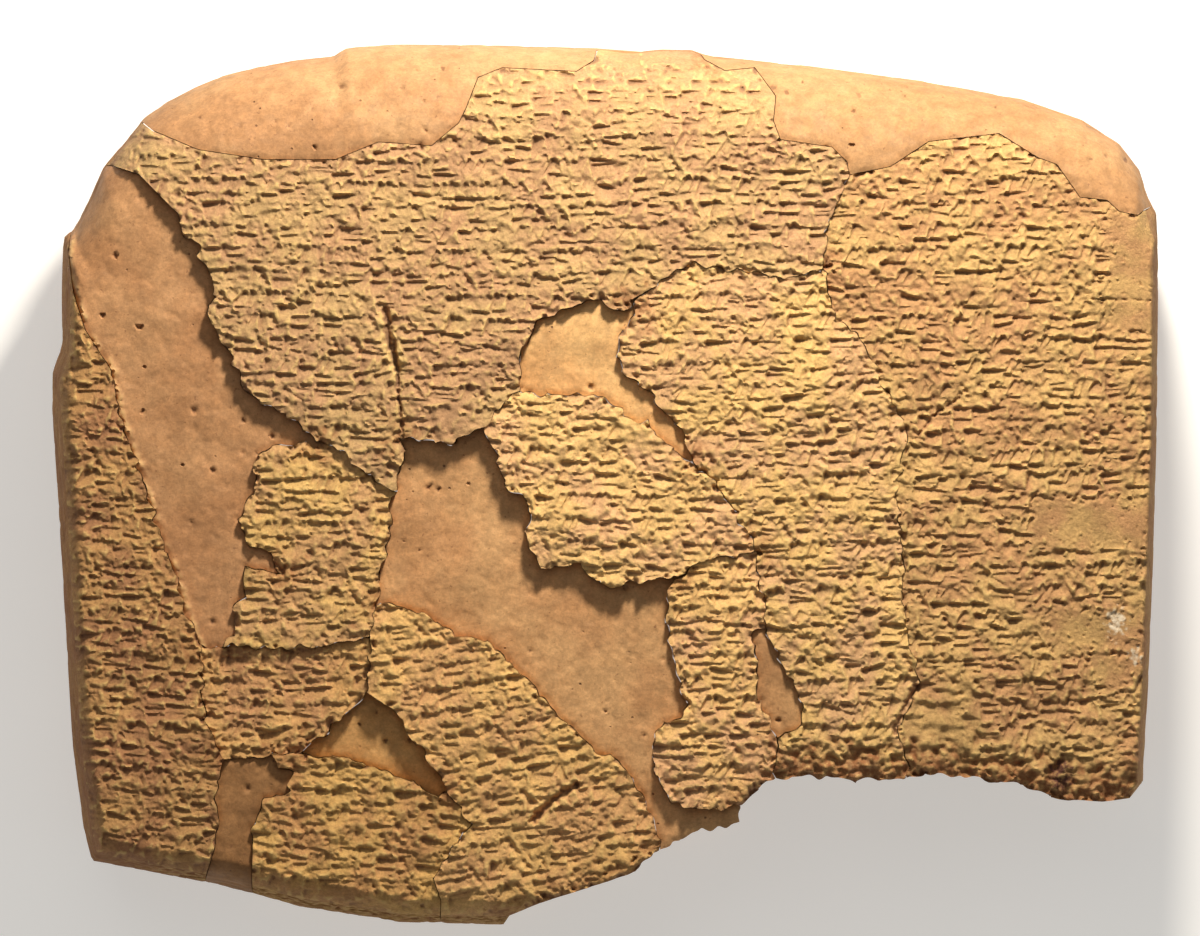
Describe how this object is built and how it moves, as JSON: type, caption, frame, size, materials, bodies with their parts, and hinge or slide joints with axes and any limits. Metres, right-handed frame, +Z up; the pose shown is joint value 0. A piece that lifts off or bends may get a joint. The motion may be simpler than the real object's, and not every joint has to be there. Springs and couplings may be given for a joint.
{
  "type": "cuneiform tablet",
  "caption": "Large fired clay tablet with rows of small wedge-like strokes, broken and put together again, with smooth plaster fills where clay is lost. It lies on its flat reverse.",
  "frame": {"origin": "the middle of the underside, which is the flat of the tablet's reverse", "axes": "+Z up out of the inscribed obverse, +Y towards the head of the text, +X along its rows to the right"},
  "size_m": [0.1776, 0.1416, 0.04],
  "materials": {
    "fired_clay": "rough, dry, unglazed fired clay",
    "tinted_plaster": "smooth matt plaster, tinted to the clay, with small pits"
  },
  "bodies": {
    "root": {"upper_fragment": "fired_clay", "right_inner_fragment": "fired_clay", "right_outer_fragment": "fired_clay", "centre_fragment": "fired_clay", "lower_middle_fragment": "fired_clay", "left_edge_fragment": "fired_clay", "mid_left_fragment": "fired_clay", "lower_left_fragment": "fired_clay", "lower_centre_fragment": "fired_clay", "bottom_fragment": "fired_clay", "upper_left_fill": "tinted_plaster", "upper_right_fill": "tinted_plaster", "left_fill": "tinted_plaster", "upper_centre_fill": "tinted_plaster", "centre_fill": "tinted_plaster", "triangle_fill": "tinted_plaster", "bottom_left_fill": "tinted_plaster", "small_right_fill": "tinted_plaster"}
  },
  "joints": []
}
